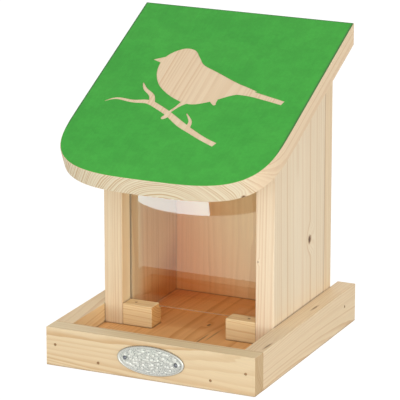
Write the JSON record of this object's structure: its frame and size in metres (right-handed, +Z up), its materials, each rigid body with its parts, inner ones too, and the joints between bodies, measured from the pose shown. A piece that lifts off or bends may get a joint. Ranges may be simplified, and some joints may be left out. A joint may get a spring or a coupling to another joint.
{
  "type": "hopper bird feeder",
  "caption": "Wooden hopper bird feeder: a railed tray, a seed house with a clear window over a feed gap, and a sloping painted roof hinged at the rear for filling.",
  "frame": {"origin": "on the ground, under the middle of the whole feeder's width and depth", "axes": "+Z up, +X to the right as seen from the front, and the front with its window faces -Y"},
  "size_m": [0.1476, 0.1676, 0.2045],
  "materials": {
    "pine": "planed and unfinished",
    "green_paint": "satin paint",
    "clear_acrylic": "clear and polished",
    "brass": "satin",
    "nail_steel": "zinc plated",
    "pewter_plate": "stamped, with a dulled field"
  },
  "bodies": {
    "house": {"floor_board": "pine", "front_rail": "pine", "left_rail": "pine", "right_rail": "pine", "left_side_board": "pine", "right_side_board": "pine", "back_board": "pine", "left_feed_block": "pine", "right_feed_block": "pine", "left_hinge_house_leaf": "brass", "left_hinge_pin": "brass", "right_hinge_house_leaf": "brass", "right_hinge_pin": "brass", "house_leaf_screws": "brass", "front_rail_nails": "nail_steel", "side_rail_nails": "nail_steel", "floor_nails": "nail_steel", "back_nails": "nail_steel", "block_nails": "nail_steel", "oval_plate": "pewter_plate", "plate_nails": "nail_steel"},
    "roof": {"roof_board": "pine", "roof_paint": "green_paint", "left_hinge_roof_leaf": "brass", "right_hinge_roof_leaf": "brass", "roof_leaf_screws": "brass"},
    "window": {"window_pane": "clear_acrylic"}
  },
  "joints": [
    {"name": "roof_hinge", "type": "hinge", "parent": "house", "child": "roof", "pos_m": [0, 0.07287, 0.1902], "axis": [-1, 0, 0], "range_deg": [0, 165]},
    {"name": "window_lift", "type": "slide", "parent": "house", "child": "window", "axis": [0, 0, 1], "range_m": [0, 0.008]}
  ]
}
